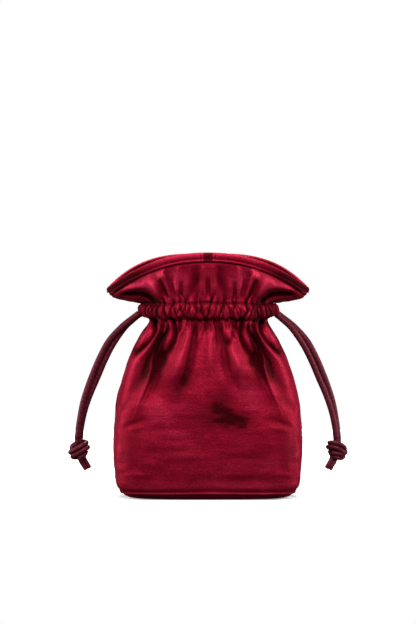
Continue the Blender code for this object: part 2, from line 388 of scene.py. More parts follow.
print("materials")
velvet = makeVelvet("red velvet", velvetLook)
bindingVelvet = makeVelvet("binding velvet", bindingLook)
casingCloth = makeVelvet("casing cloth", casingLook)
thread = makeVelvet("red thread", threadLook)
leather = makeLeather("burgundy leather", leatherLook)


cordShape = {
    "diameter": 5.8, "inChannel": 4.3, "swell": 1.035, "sides": 20, "steps": 4,
    # each strand's route from its hole in the casing down to the knot, on the left side
    "front_strand": [
        (-69.2, -4.4, 184.4), (-75.3, -3.6, 179.5), (-85.8, -3.1, 171.2), (-98.7, -2.3, 157.2),
        (-107.4, -1.6, 141.7), (-114.3, -1.5, 126.0), (-120.3, -1.8, 110.1), (-125.2, -2.6, 94.1),
        (-128.7, -3.1, 75.0), (-130.7, -3.3, 58.8),
    ],
    "back_strand": [
        (-68.4, 4.4, 182.9), (-75.0, 3.6, 177.6), (-83.8, 3.1, 169.2), (-95.1, 2.3, 152.9),
        (-103.7, 1.6, 136.1), (-110.4, 1.5, 120.3), (-117.5, 1.8, 104.0), (-123.2, 2.6, 87.9),
        (-127.0, 3.1, 71.3), (-128.2, 3.3, 58.8),
    ],
    "frontEnd": (-65.2, -6.6, 188.9), "backEnd": (-65.0, 6.6, 183.9),
    # the run inside the channel follows this ring: middle and side height, half width, half depth, power
    "channel": (187.4, 186.6, 63.6, 29.3, 2.3), "channelLift": 2.7, "channelStep": 15,
}


def turned(points, side):
    # the right-hand pieces are the left-hand ones turned half round
    points = np.array(points, float)
    return points if side == "left" else points * (-1.0, -1.0, 1.0)


def makeCordPiece(name, route, nodes, diameter):
    rings = tubeRings(route, cordShape["swell"] * diameter / 2.0, cordShape["sides"])
    bm = gridMesh(rings)
    uv = bm.loops.layers.uv["UVMap"]
    length = float(np.linalg.norm(np.diff(route, axis=0), axis=1).sum())
    for face in bm.faces:
        for loop in face.loops:
            loop[uv].uv.y *= length * mm
    capLoops(bm)
    return finishPiece(name, bm, leather, nodes), length


def channelRoute():
    middle, sideHeight, width, depth, power = cordShape["channel"]
    route = []
    for degrees in range(cordShape["channelStep"], 360, cordShape["channelStep"]):
        c, s = math.cos(math.radians(degrees)), math.sin(math.radians(degrees))
        x = -width * math.copysign(abs(c) ** (2.0 / power), c)
        y = -depth * math.copysign(abs(s) ** (2.0 / power), s)
        lift = 0.0 if degrees == 180 else math.copysign(cordShape["channelLift"], s)
        route.append((x, y, middle + (sideHeight - middle) * (x / width) ** 2 + lift))
    return route


def cordCurve():
    # one smooth curve from the knot, round the channel and back, and where it is cut at the casing
    front = cordShape["front_strand"][::-1]
    inside = [cordShape["frontEnd"], *channelRoute(), cordShape["backEnd"]]
    steps = cordShape["steps"]
    curve = smoothCurve(front + inside + cordShape["back_strand"], steps)
    leave = steps * (len(front) - 1)
    enter = steps * (len(front) + len(inside))
    return curve, leave, enter


knotShape = {
    # the radius at the first points, where the strands go in, and the last one from there on
    "centre": (-129.3, 0.0, 47.8), "radius": (2.9, 2.85, 2.5, 2.25), "sides": 16, "steps": 6,
    "cordLength": 120.0,
    # the doubled cord's middle line and the half spread between its two cords at each point
    "path": [
        ((-0.2, 0.0, 12.6), (-1.25, -3.2, 0.0)),
        ((-0.2, 0.0, 9.0), (-1.3, -2.9, 0.0)),
        ((-0.4, 0.2, 5.0), (-1.4, -2.2, 0.0)),
        ((-0.8, 1.0, -1.0), (-1.8, -1.4, -0.2)),
        ((-4.4, 2.6, -4.4), (-1.0, -1.0, 1.9)),
        ((-7.0, 4.6, -0.4), (-0.6, 0.2, 2.2)),
        ((-1.0, 6.6, 3.8), (-0.6, 0.2, 2.2)),
        ((6.0, 4.4, 5.0), (-0.5, 0.3, 2.2)),
        ((8.2, -1.2, 4.0), (-0.8, 0.5, 2.1)),
        ((3.8, -6.0, 1.8), (-1.3, 0.0, 2.0)),
        ((-2.6, -6.2, -2.0), (-1.5, -0.2, 1.9)),
        ((-7.6, -2.0, -5.0), (-1.2, 0.4, 1.9)),
        ((-4.6, 3.4, -6.6), (-0.4, 0.8, 2.1)),
        ((2.6, 3.4, -5.6), (0.4, 1.0, 2.0)),
        ((5.8, -1.4, -4.2), (1.2, 0.6, 1.7)),
        ((3.0, -3.0, -7.6), (1.9, 0.6, 0.6)),
        ((4.0, -1.2, -11.4), (1.9, 0.9, 0.8)),
        ((6.3, 0.0, -15.4), (1.75, 0.9, 0.8)),
        ((9.0, 0.0, -19.9), (1.7, 0.9, 0.8)),
    ],
}


def makeKnot(side):
    bm = bmesh.new()
    bm.loops.layers.uv.new("UVMap")
    bm.verts.layers.float.new("napAndShade")
    middle = np.array([point for point, spread in knotShape["path"]])
    spread = np.array([spread for point, spread in knotShape["path"]])
    steps = knotShape["steps"]
    given = knotShape["radius"]
    radius = np.interp(np.arange(steps * (len(middle) - 1) + 1) / steps, range(len(given)), given)
    for sign in (1.0, -1.0):
        path = turned(smoothCurve(middle + sign * spread, steps) + knotShape["centre"], side)
        part = gridMesh(tubeRings(path, radius, knotShape["sides"]))
        uv = part.loops.layers.uv["UVMap"]
        for face in part.faces:
            for loop in face.loops:
                loop[uv].uv.y *= knotShape["cordLength"] * mm
        capLoops(part)
        mesh = bpy.data.meshes.new("knot part")
        part.to_mesh(mesh)
        part.free()
        bm.from_mesh(mesh)
        bpy.data.meshes.remove(mesh)
    return finishPiece(f"{side}_knot_tied", bm, leather, [f"{side}_knot"])


def makeCords(side):
    curve, leave, enter = cordCurve()
    knot = makeKnot(side)
    routes = {"front_strand": curve[leave::-1], "back_strand": curve[enter:]}
    for name, route in routes.items():
        route = turned(route, side)
        node = f"{side}_cord_{name}"
        piece, length = makeCordPiece(f"{node}_leather", route, [node], cordShape["diameter"])
    inside = turned(curve[leave:enter + 1], side)
    makeCordPiece(f"{side}_cord_run", inside, [f"{side}_cord_in_channel"], cordShape["inChannel"])


print("cords and knots")
for side in ("left", "right"):
    makeCords(side)


shell = {
    # height at the middle and at the side seam, half width, half depth, power of the superellipse
    "stations": [
        (6.0, 6.0, 85.5, 38.0, 4.5), (12.0, 12.0, 91.0, 41.5, 4.5), (30.0, 30.0, 92.5, 42.5, 4.4),
        (60.0, 60.0, 94.0, 43.0, 3.8), (100.0, 100.0, 90.5, 41.0, 3.2), (134.0, 134.0, 80.5, 37.5, 2.8),
        (158.0, 158.0, 69.5, 33.0, 2.5), (172.0, 172.0, 61.0, 29.5, 2.4), (178.0, 178.5, 59.5, 28.6, 2.3),
        (181.5, 181.5, 67.5, 32.6, 2.3), (187.5, 186.5, 69.5, 33.8, 2.3), (193.0, 191.5, 68.5, 33.2, 2.3),
        (197.0, 194.0, 66.0, 31.2, 2.2), (204.0, 195.0, 71.0, 31.0, 2.0), (218.0, 198.0, 87.0, 32.5, 2.0),
        (230.0, 201.5, 97.0, 34.0, 2.0), (244.4, 208.5, 100.0, 35.0, 2.0),
    ],
    "rowsPerSpan": [7, 13, 21, 28, 24, 18, 12, 6, 8, 6, 6, 5, 7, 15, 12, 12],
    "columns": 228,
    "neckSpan": 12, "casingSpan": 10,
    "bodyDrop": 2.0,
    "thickness": 1.0,
    "casingHalf": 8.6,
    "bindingDepth": 7.2,
    "bodyStrength": 1.35, "collarStrength": 1.15, "foldShade": 0.1,
    # a fold's first point tells the body's from the collar's, and the back's keep their height near the neck
    "collarFrom": 181.0, "gatheredFrom": 160.0, "seamEdge": -0.01,
}
panelSettings = {
    "front": {"rimDrop": 2.2, "lower": 0.0, "seed": 11, "jitter": 0.0, "turn": (1.0, 1.0, 1.0)},
    "back": {"rimDrop": 3.2, "lower": 3.0, "seed": 37, "jitter": 3.5, "turn": (-1.0, -1.0, 1.0)},
}

# Folds of the left half, mirrored to the right. Each point: across, up, height of the fold, its width.
# A tuck is a step: the cloth dives on its outer side and rolls over on its inner side; tuckIn is the
# other way round.
bodyFolds = [
    ("groove", [(-57, 181, 4.0, 2.2), (-53, 174, 5.4, 2.4), (-52.3, 167, 5.4, 2.2), (-58, 157, 5.0, 2.2),
                (-65, 151, 6.0, 2.6), (-71, 148, 7.0, 3.0), (-76, 144.5, 6.0, 3.4), (-79, 141, 4.0, 3.4)]),
    ("ridge", [(-57.5, 178, 1.0, 3.0), (-59.5, 168, 2.4, 4.0), (-66, 159, 2.2, 4.0), (-72, 152, 1.5, 3.6)]),
    ("ridge", [(-48, 179, 1.5, 2.0), (-49, 169, 3.0, 2.4), (-54, 158.5, 3.2, 3.0), (-62, 149, 3.0, 4.0),
               (-71, 139, 2.6, 5.0), (-79, 124, 2.2, 6.0), (-84, 106, 1.6, 6.0)]),
    ("tuck", [(-41, 179, 4.0, 2.4), (-41.5, 169, 7.5, 3.2), (-48, 159.5, 8.5, 3.6), (-52, 151.7, 8.5, 4.6),
              (-54.3, 139.4, 8.0, 6.0), (-55.3, 131.6, 6.4, 7.0), (-57.6, 119.2, 4.6, 8.0),
              (-62.8, 107.5, 3.4, 8.0), (-66.7, 97.1, 2.4, 7.0), (-72, 85, 1.6, 5.0), (-76, 77, 1.0, 4.0)]),
    ("ridge", [(-41, 168, 1.0, 2.0), (-47.5, 158, 1.5, 2.0), (-52.3, 147, 1.6, 2.0), (-54.3, 134, 1.6, 2.2),
               (-56.6, 120, 2.0, 2.4), (-61.0, 108, 2.2, 2.6), (-65.0, 98, 2.0, 2.6), (-71, 86, 1.6, 2.4),
               (-75.5, 78, 1.0, 2.2)]),
    ("groove", [(-43.5, 178, 2.0, 2.0), (-45.5, 167, 4.6, 2.6), (-50.5, 155, 5.4, 3.4), (-57, 142, 4.8, 4.6),
                (-62, 129, 3.8, 6.0), (-70, 114, 3.0, 6.5), (-78, 103, 2.6, 5.5), (-88, 94, 2.4, 4.5)]),
    ("ridge", [(-39, 181, 1.5, 2.2), (-37.5, 171, 2.6, 3.0), (-39.5, 160, 2.8, 4.0), (-45, 150, 2.0, 4.0)]),
    ("groove", [(-36.5, 183, 3.4, 1.3), (-33.2, 175, 4.6, 1.5), (-32, 165, 5.0, 1.6), (-34, 156.5, 4.8, 1.9),
                (-38.5, 149, 4.6, 2.6), (-43.5, 142.5, 4.6, 3.6), (-47, 136, 4.0, 4.2)]),
    ("pocket", [(-46.0, 141.0, 3.0, 5.0)]),
    ("groove", [(-27, 179, 2.0, 1.3), (-28, 171, 2.6, 1.5), (-30, 164, 1.6, 1.8)]),
    ("ridge", [(-22.5, 179, 1.4, 1.8), (-24, 172, 2.0, 2.0), (-28, 164, 1.6, 2.2), (-31, 155, 1.0, 2.6)]),
    ("ridge", [(-18, 175, 1.6, 4.0), (-23, 152, 2.6, 6.5), (-33, 129, 2.8, 9.0), (-40, 109, 2.0, 9.0)]),
    ("groove", [(-12, 178, 1.6, 2.2), (-14, 162, 2.2, 3.5), (-17.3, 145, 2.4, 4.5), (-21.2, 129, 2.2, 5.0),
                (-27.7, 113, 2.0, 5.0), (-34, 104, 1.6, 5.0)]),
    ("ridge", [(-4, 178, 1.4, 1.8), (-8, 165, 1.8, 2.4), (-11, 152, 1.0, 3.0)]),
    ("groove", [(-90, 91, 0.8, 3.4), (-84, 93, 1.2, 3.6), (-75, 99, 0.8, 4.2), (-66, 106, 0.6, 5.0)]),
    ("groove", [(-84, 73.0, 0.4, 2.8), (-73, 77, 1.3, 3.0), (-62, 79, 0.9, 3.2), (-50, 79, 0.5, 3.4)]),
    ("ridge", [(-78, 70.5, 0.3, 2.6), (-70, 73, 0.7, 2.8), (-60, 74, 0.5, 2.8)]),
    ("groove", [(-86.5, 76, 0.4, 4.5), (-86.0, 45, 0.8, 5.0), (-85, 12, 0.5, 4.5)]),
    ("ridge", [(-84, 25.5, 0.5, 1.6), (-72, 26.5, 0.9, 1.6), (-60, 25, 0.4, 1.6)]),
]
# small folds of the middle that aren't mirrored
middleFolds = [
    ("groove", [(7, 179, 2.2, 1.6), (8.4, 162, 2.4, 2.0), (10, 144, 1.2, 2.6)]),
    ("ridge", [(2.5, 170, 1.0, 3.0), (2.5, 145, 1.4, 5.0), (4, 122, 1.0, 6.0)]),
    ("ridge", [(15.5, 178, 1.8, 1.8), (15.5, 168, 2.0, 2.0), (15, 160, 1.2, 2.2)]),
    ("tuckIn", [(24, 180, 2.4, 1.8), (23.3, 168, 2.8, 2.0), (22, 159.5, 2.4, 2.2), (17.5, 154, 1.4, 2.4)]),
    ("pocket", [(20, 156.5, 2.4, 3.2)]),
    ("groove", [(-6, 178, 1.6, 1.5), (-7, 170, 1.4, 1.8), (-9, 160, 0.8, 2.2)]),
]
collarFolds = [
    ("ridge", [(-50, 231, 1.6, 4.5), (-45, 223, 3.6, 4.0), (-40.5, 212, 3.6, 3.2), (-36.8, 201, 3.0, 2.6),
               (-34.6, 196.5, 2.2, 2.2)]),
    ("groove", [(-48.5, 220, 1.6, 3.4), (-46, 213, 4.2, 3.0), (-42.2, 205, 4.6, 2.6),
                (-38.6, 197.5, 3.6, 2.2)]),
    ("ridge", [(-66, 219, 1.2, 6.0), (-56, 210.5, 3.2, 4.0), (-50, 203, 3.6, 3.0), (-44.2, 194.5, 2.6, 2.4)]),
    ("ridge", [(-86, 207.5, 0.8, 3.0), (-78, 210.5, 2.0, 3.0), (-67, 211.5, 2.4, 3.4), (-57, 209, 2.0, 3.4)]),
    ("groove", [(-88, 202, 2.0, 2.6), (-78, 203, 5.0, 3.4), (-66, 203.5, 6.0, 3.8), (-57, 199, 6.0, 3.6),
                (-50, 194, 5.0, 3.0), (-46, 190, 4.0, 3.0)]),
    ("groove", [(-44, 231, 0.8, 2.4), (-39.6, 219, 2.4, 2.6), (-36, 208, 2.8, 2.4), (-32.2, 197, 2.6, 2.0)]),
    ("ridge", [(-31.5, 235, 0.8, 3.0), (-31, 221, 2.0, 3.0), (-30.2, 209, 2.2, 2.6), (-28.6, 197, 1.8, 2.0)]),
    ("groove", [(-27, 217, 1.0, 2.0), (-26.6, 207, 2.0, 1.8), (-25.5, 197, 2.0, 1.6)]),
    ("ridge", [(-21.5, 230, 0.0, 5.0), (-21.5, 221, 0.3, 4.4), (-22, 210, 1.4, 3.0), (-20, 197.5, 1.6, 2.0)]),
    ("groove", [(-12.3, 234, 0.8, 4.0), (-11, 220, 1.6, 4.0), (-15.5, 206, 1.6, 2.6),
                (-15.5, 197, 1.4, 1.8)]),
    ("ridge", [(-6, 234, 0.6, 3.0), (-5.5, 216, 1.4, 3.0), (-6.5, 199, 1.2, 2.0)]),
    ("groove", [(0.5, 222, 0.4, 2.0), (0.0, 210, 1.2, 2.0), (0.5, 198, 1.2, 1.6)]),
]
gathers = {
    "count": 31, "depth": (1.0, 3.8), "width": (0.7, 1.5), "up": (5.0, 18.0), "down": (6.0, 30.0),
    "drift": 0.34, "spread": 0.06, "crest": 1.4, "shade": 0.10,
    # how far the lower stitch line dips where the deep folds start: depth, place, width, raggedness
    "dip": (4.2, 47.0, 8.0, 1.1),
    # height, cell across, cell up, slant of the small wrinkles of the casing
    "crumple": (1.0, 2.2, 9.0, 0.35), "wrinkle": (0.6, 1.7, 8.0, -0.45), "fadeFromCasing": 13.0,
    "puff": 0.7, "deepest": -1.1, "stitchDip": (1.1, 1.2), "stitchShade": (0.40, 1.7), "sideShade": 0.20,
}
# across the cloth: place, height or shade, width of each roll and hollow beside a seam
seams = {
    "side": [(0.0, -1.1, 1.5), (3.6, 0.7, 2.0)],
    "base": [(2.0, 1.4, 1.3), (5.6, -0.9, 1.7)],
    "baseShade": [(2.0, 0.9, 1.1), (5.0, -0.30, 1.5)],
    "baseWave": 0.5,
}
# slow waves of the whole cloth: height, cell across, cell up
waves = {
    "sag": (0.9, 26.0, 30.0), "lowBands": (0.30, 30.0, 5.6), "lowRipple": (0.10, 14.0, 3.2),
    "ripple": (0.30, 8.0, 11.0), "sagStart": 30.0, "lowTop": 95.0, "lowFade": 40.0,
}
cordHole = {"push": 6.8, "reach": 13.0}
napAndShadeLimits = (-0.62, 0.44)
# places where the pile was brushed the other way, and patches of painted shade in hollows and creases and of
# painted highlight on raised parts: across, up, half width, half height, how much
napAndShadePatches = [
    (9, 84, 30, 14, -0.28), (22, 82, 17, 8, -0.26), (12, 102, 14, 14, -0.24), (34, 79, 17, 7, -0.18),
    (-34, 104, 10, 9, -0.24), (-28, 114, 9, 10, -0.21), (-21, 126, 9, 13, -0.19), (-72, 148, 5, 4, -0.36),
    (72, 148, 5, 4, -0.36), (-52, 175, 9, 4, -0.18), (52, 175, 9, 4, -0.18), (38, 24, 26, 3.6, -0.30),
    (-61, 23.5, 6, 2.6, -0.25),
    (-50, 158, 5, 14, -0.30), (50, 158, 5, 14, -0.30), (-46, 141, 5, 7, -0.34), (46, 141, 5, 7, -0.34),
    (-60, 130, 6, 14, -0.16), (60, 130, 6, 14, -0.16),
    (-77, 54, 10, 20, -0.14), (78, 50, 10, 20, -0.14), (40, 52, 50, 10, -0.06), (-45, 95, 22, 18, 0.12),
    (45, 106, 22, 22, 0.14), (-30, 66, 16, 6, 0.08), (50, 38, 26, 6, 0.08), (0, 15, 84, 5, 0.10),
    (-58, 222, 19, 11, 0.34), (58, 222, 19, 11, 0.34), (-80, 213, 14, 5, 0.26), (80, 213, 14, 5, 0.26),
    (-12, 222, 6, 12, -0.18), (14, 222, 6, 12, -0.14), (0, 214, 9, 12, 0.12), (-30, 216, 12, 14, 0.14),
    (30, 216, 12, 14, 0.14), (-78, 201.5, 14, 4, -0.2), (78, 201.5, 14, 4, -0.2), (0, 172, 44, 7, -0.10),
    (-91, 44, 5, 40, 0.10), (91, 44, 5, 40, 0.10),
]


def halfRing(width, depth, power):
    # one row's outline from the left seam round the front to the right seam, evenly divided, and its length
    angle = np.linspace(0.0, math.pi, 9001)
    c, s = np.cos(angle), np.sin(angle)
    x = -width * np.sign(c) * np.abs(c) ** (2.0 / power)
    y = -depth * np.abs(s) ** (2.0 / power)
    reach = np.concatenate(([0.0], np.cumsum(np.hypot(np.diff(x), np.diff(y)))))
    even = np.linspace(0.0, reach[-1], shell["columns"] + 1)
    return np.interp(even, reach, x), np.interp(even, reach, y), reach[-1]


def plainPanel(settings):
    # the smooth panel, with s across it and t up it, both measured along the cloth
    rows = smoothCurve(shell["stations"], shell["rowsPerSpan"])
    neckRow = sum(shell["rowsPerSpan"][:shell["neckSpan"]])
    flare = np.clip((np.arange(len(rows)) - neckRow) / (len(rows) - 1 - neckRow), 0.0, 1.0)
    points, across = [], []
    for row, (middle, side, width, depth, power) in enumerate(rows):
        x, y, length = halfRing(width, depth, power)
        drop = shell["bodyDrop"] + (settings["rimDrop"] - shell["bodyDrop"]) * flare[row]
        middle = middle - settings["lower"] * flare[row]
        z = middle + (side - middle) * np.abs(x / width) ** drop
        points.append(np.stack([x, y, z], axis=1))
        across.append((np.linspace(0.0, 1.0, len(x)) - 0.5) * length)
    points, across = np.array(points), np.array(across)
    steps = np.linalg.norm(np.diff(points, axis=0), axis=2)
    up = np.vstack([np.zeros(steps.shape[1]), np.cumsum(steps, axis=0)])
    return points, across, up


def outward(points):
    normal = np.cross(np.gradient(points, axis=1), np.gradient(points, axis=0))
    return normal / np.linalg.norm(normal, axis=2)[:, :, None]


def reliefWay(normal):
    # folds of the broad faces go straight in and out, those of the sides follow the cloth's own direction
    turnAway = 0.25 + 0.75 * smoothStep((0.75 - np.abs(normal[:, :, 1:2])) / 0.45)
    way = normal * np.concatenate([turnAway, np.ones_like(turnAway), turnAway], axis=2)
    return way / np.linalg.norm(way, axis=2)[:, :, None]


def onCloth(points, across, up, x, z):
    # where a place seen from the front lies on the cloth
    away = (points[:, :, 0] - x) ** 2 + (points[:, :, 2] - z) ** 2 + 0.02 * (points[:, :, 1] + 45.0) ** 2
    k = np.unravel_index(np.argmin(away), away.shape)
    return across[k], up[k]


def addFold(relief, napAndShade, points, across, up, kind, route, side):
    # shape the fold, with painted shade in its hollow and a painted highlight along its crest
    shade = shell["foldShade"]
    places = []
    for x, z, height, width in route:
        s, t = onCloth(points, across, up, x, z)
        places.append((s, t, height, width))
    if kind == "pocket":
        s, t, height, width = places[0]
        hollow = bell(np.hypot(across - s, (up - t) * 0.8) / width)
        relief -= height * hollow
        napAndShade -= 1.6 * shade * height * hollow
        return
    line = smoothCurve(places, 10)
    ahead = np.gradient(line[:, :2], axis=0)
    ahead /= np.linalg.norm(ahead, axis=1)[:, None]
    along = np.linspace(0.0, 1.0, len(line))
    taper = smoothStep(along / 0.12) * smoothStep((1.0 - along) / 0.45)
    reach = 3.2 * line[:, 3].max()
    near = ((across > line[:, 0].min() - reach) & (across < line[:, 0].max() + reach)
            & (up > line[:, 1].min() - reach) & (up < line[:, 1].max() + reach))
    s, t = across[near], up[near]
    gap = (s[:, None] - line[None, :, 0]) ** 2 + (t[:, None] - line[None, :, 1]) ** 2
    k = gap.argmin(axis=1)
    distance = np.sqrt(gap[np.arange(len(k)), k])
    height, width = line[k, 2] * taper[k], line[k, 3]
    signed = side * (ahead[k, 0] * (t - line[k, 1]) - ahead[k, 1] * (s - line[k, 0]))
    if kind == "ridge":
        relief[near] += height * bell(distance / width)
        napAndShade[near] += 0.45 * shade * height * bell(distance / (0.7 * width))
    elif kind == "groove":
        relief[near] -= height * bell(distance / width)
        napAndShade[near] -= shade * height * bell(distance / width)
    else:
        if kind == "tuckIn":
            signed = -signed
        inner = smoothStep(signed / 2.0 + 0.5)
        relief[near] += height * (0.5 * inner * bell(distance / (1.7 * width))
                                  - (1.0 - inner) * np.exp(-distance / width))
        napAndShade[near] += shade * height * (0.25 * inner * bell(distance / (0.6 * width))
                                       - (1.0 - inner) * np.exp(-distance / (1.1 * width)))


def casingDip(x):
    depth, place, width, ragged = gathers["dip"]
    return depth * bell((np.abs(x) - place) / width) + ragged * softNoise(x, np.zeros_like(x), 7.0, 1.0, 73)


def casingWrinkles(name, across, fromCasing, seed):
    height, cellAcross, cellUp, slant = gathers[name]
    return height, softNoise(across + slant * fromCasing, fromCasing, cellAcross, cellUp, seed)


def addGathers(relief, napAndShade, across, fromCasing, x, rng):
    # narrow pleats through the casing that fan out above and below it
    half = shell["casingHalf"]
    bite = rng.integers(1000)
    fromCasing = fromCasing + 1.9 * softNoise(across, np.zeros_like(across), 9.0, 1.0, bite)
    length = across[:, -1:] - across[:, :1]
    count = gathers["count"]
    for k in range(count):
        share = (k + 0.5 + rng.uniform(-0.32, 0.32)) / count - 0.5
        depth, width = rng.uniform(*gathers["depth"]), rng.uniform(*gathers["width"])
        above, below = rng.uniform(*gathers["up"]), rng.uniform(*gathers["down"])
        drift = rng.uniform(-gathers["drift"], gathers["drift"])
        waver = softNoise(fromCasing, np.full_like(across, k), 6.0, 1.0, bite + 1)
        centre = share * length + drift * fromCasing + 1.3 * waver
        beyond = np.maximum(np.abs(fromCasing) - half, 0.0)
        fade = 1.0 - smoothStep(np.where(fromCasing > 0.0, beyond / above, beyond / below))
        lean = (across - centre) / (width * (1.0 + gathers["spread"] * beyond))
        relief -= depth * fade * bell(lean)
        crest = 0.9 * bell((lean - gathers["crest"]) / 0.5)
        # painted shade down each pleat and a painted highlight on its crest
        napAndShade += gathers["shade"] * depth * fade * (crest - 1.5 * bell(lean))
    low = half + casingDip(x)
    inCasing = smoothStep((half - fromCasing) / 2.0) * smoothStep((low + fromCasing) / 2.0)
    relief += gathers["puff"] * inCasing
    nearby = bell(fromCasing / gathers["fadeFromCasing"])
    crumpleHeight, crumple = casingWrinkles("crumple", across, fromCasing, bite + 2)
    wrinkleHeight, wrinkle = casingWrinkles("wrinkle", across, fromCasing, bite + 3)
    relief += nearby * (crumpleHeight * crumple + wrinkleHeight * wrinkle)
    sides = smoothStep((np.abs(across) - 34.0) / 16.0)
    # the casing painted darker, lighter on its raised wrinkles, and painted shade at its sides
    napAndShade += inCasing * (0.22 * crumple + 0.16 * wrinkle - 0.10) - gathers["sideShade"] * nearby * sides
    relief[:] = np.where(inCasing > 0.3, np.maximum(relief, gathers["deepest"]), relief)
    # each stitch row sinks in, with painted shade along it
    for line in (half, -low):
        for change, (amount, width) in ((relief, gathers["stitchDip"]), (napAndShade, gathers["stitchShade"])):
            change -= amount * bell((fromCasing - line) / width)


def addSeams(relief, napAndShade, across, up):
    toSeam = across[:, -1:] - np.abs(across)
    for place, height, width in seams["side"]:
        relief += height * bell((toSeam - place) / width)
    wave = seams["baseWave"] * softNoise(across, up, 34.0, 60.0, 81)
    for place, height, width in seams["base"]:
        relief += height * bell((up - place - wave) / width)
    # painted highlight on the seam's roll and painted shade in the hollow above it
    for place, amount, width in seams["baseShade"]:
        napAndShade += amount * bell((up - place - wave) / width)


def openCordHoles(points, across, fromCasing):
    # the side seam is left open in the casing, and the cords push the edges apart
    toSeam = across[:, -1:] - np.abs(across)
    lens = np.sqrt(np.clip(1.0 - (fromCasing / (shell["casingHalf"] - 0.4)) ** 2, 0.0, 1.0))
    points[:, :, 1] -= cordHole["push"] * lens * np.exp(-toSeam / cordHole["reach"])


def clothWaves(points, across, up, seed):
    def wave(name, step):
        height, cellAcross, cellUp = waves[name]
        return height * softNoise(across, up, cellAcross, cellUp, seed + step)

    low = smoothStep((waves["lowTop"] - points[:, :, 2]) / waves["lowFade"])
    relief = wave("sag", 0) * smoothStep(up / waves["sagStart"])
    relief += low * wave("lowBands", 1) + low * wave("lowRipple", 2)
    return relief + wave("ripple", 3)


def addAllFolds(relief, napAndShade, points, across, up, settings, rng):
    jitter = settings["jitter"]
    for sign in (1.0, -1.0):
        for kind, route in bodyFolds + collarFolds:
            strength = shell["bodyStrength"] if route[0][1] < shell["collarFrom"] else shell["collarStrength"]
            dx, dz = rng.uniform(-jitter, jitter, 2) if jitter else (0.0, 0.0)
            scale = rng.uniform(0.7, 1.15) if jitter else 1.0
            scale *= strength
            moved = [(sign * (x + dx), z + dz * (z < shell["gatheredFrom"]), height * scale, width)
                     for x, z, height, width in route]
            addFold(relief, napAndShade, points, across, up, kind, moved, -sign)
    for kind, route in middleFolds:
        moved = [(settings["turn"][0] * x, z, height * shell["bodyStrength"], width)
                 for x, z, height, width in route]
        addFold(relief, napAndShade, points, across, up, kind, moved, 1.0)


def addNapAndShadePatches(napAndShade, points):
    x, z = points[:, :, 0], points[:, :, 2]
    ragged = 1.0 + 0.26 * softNoise(x, z, 9.0, 4.0, 5) + 0.20 * softNoise(x, z, 8.0, 1.5, 6)
    # brushed pile, painted shade and painted highlight alike
    for centreX, centreZ, halfWidth, halfHeight, amount in napAndShadePatches:
        reach = np.hypot((x - centreX) / halfWidth, (z - centreZ) / halfHeight) * ragged
        napAndShade += amount * smoothStep((1.45 - reach) / 1.15)


def relax(points, share):
    # each point goes part of the way to the middle of its neighbours
    around = points[:-2, 1:-1] + points[2:, 1:-1] + points[1:-1, :-2] + points[1:-1, 2:]
    points[1:-1, 1:-1] = (1.0 - share) * points[1:-1, 1:-1] + share * around / 4.0


def makePanelPoints(settings):
    rng = np.random.default_rng(settings["seed"])
    points, across, up = plainPanel(settings)
    normal = outward(points)
    casingRow = sum(shell["rowsPerSpan"][:shell["casingSpan"]])
    fromCasing = up - up[casingRow]
    fromBand = up[-1] - up - shell["bindingDepth"]
    relief = clothWaves(points, across, up, settings["seed"])
    napAndShade = np.zeros_like(relief)
    addAllFolds(relief, napAndShade, points, across, up, settings, rng)
    addGathers(relief, napAndShade, across, fromCasing, points[:, :, 0], rng)
    relief *= smoothStep((fromBand + 2.0) / 10.0)
    # a recess just under the binding's lip, with painted shadow in it
    relief -= 0.9 * bell((fromBand - 0.9) / 0.9)
    napAndShade -= 0.45 * bell((fromBand - 0.4) / 1.2)
    addSeams(relief, napAndShade, across, up)
    relief[-1] = 0.0
    addNapAndShadePatches(napAndShade, points)
    points = points + reliefWay(normal) * relief[:, :, None]
    openCordHoles(points, across, fromCasing)
    relax(points, 0.45)
    sides = (0, -1)
    atHole = np.abs(fromCasing[:, sides]) < shell["casingHalf"]
    points[:, sides, 1] = np.where(atHole, points[:, sides, 1], shell["seamEdge"])
    return points * settings["turn"], np.clip(napAndShade, *napAndShadeLimits)


def makePanel(name):
    points, napAndShade = makePanelPoints(panelSettings[name])
    piece = finishPiece(f"{name}_velvet", gridMesh(points, napAndShade), velvet, [f"{name}_panel"])
    giveThickness(piece, shell["thickness"])
    return points


print("velvet panels")
panels = {name: makePanel(name) for name in ("front", "back")}


binding = {
    # across the cloth (0 is its outer face) and along it from the edge: a folded strip with a stitched groove
    "section": [
        (1.0, -7.2), (1.9, -6.9), (2.15, -6.1), (1.95, -5.3), (1.05, -4.8), (1.0, -4.4), (1.6, -3.8),
        (1.75, -2.2), (1.6, -0.4), (1.0, 1.0), (0.0, 1.65), (-1.0, 1.65), (-2.0, 1.0), (-2.6, -0.4),
        (-2.75, -2.4), (-2.6, -5.8), (-2.2, -7.0), (-1.5, -6.6), (-1.3, -4.0), (-1.3, -0.8), (-0.5, 0.1),
        (0.3, -0.8), (0.3, -4.0), (0.4, -6.6),
    ],
    "joinHalf": 4.3, "joinDent": 0.55, "joinShade": -0.42, "tipNarrows": 0.5, "stitchRow": -4.6,
    # small pleats beside the join and their shade: distance from its middle, amount, width
    "pleats": [(5.2, 0.5, 0.8), (8.2, 0.4, 0.9), (6.8, -0.4, 0.7)],
    "pleatShade": [(5.6, 0.20, 0.9), (7.3, -0.16, 0.7), (9.0, 0.12, 0.9)],
}


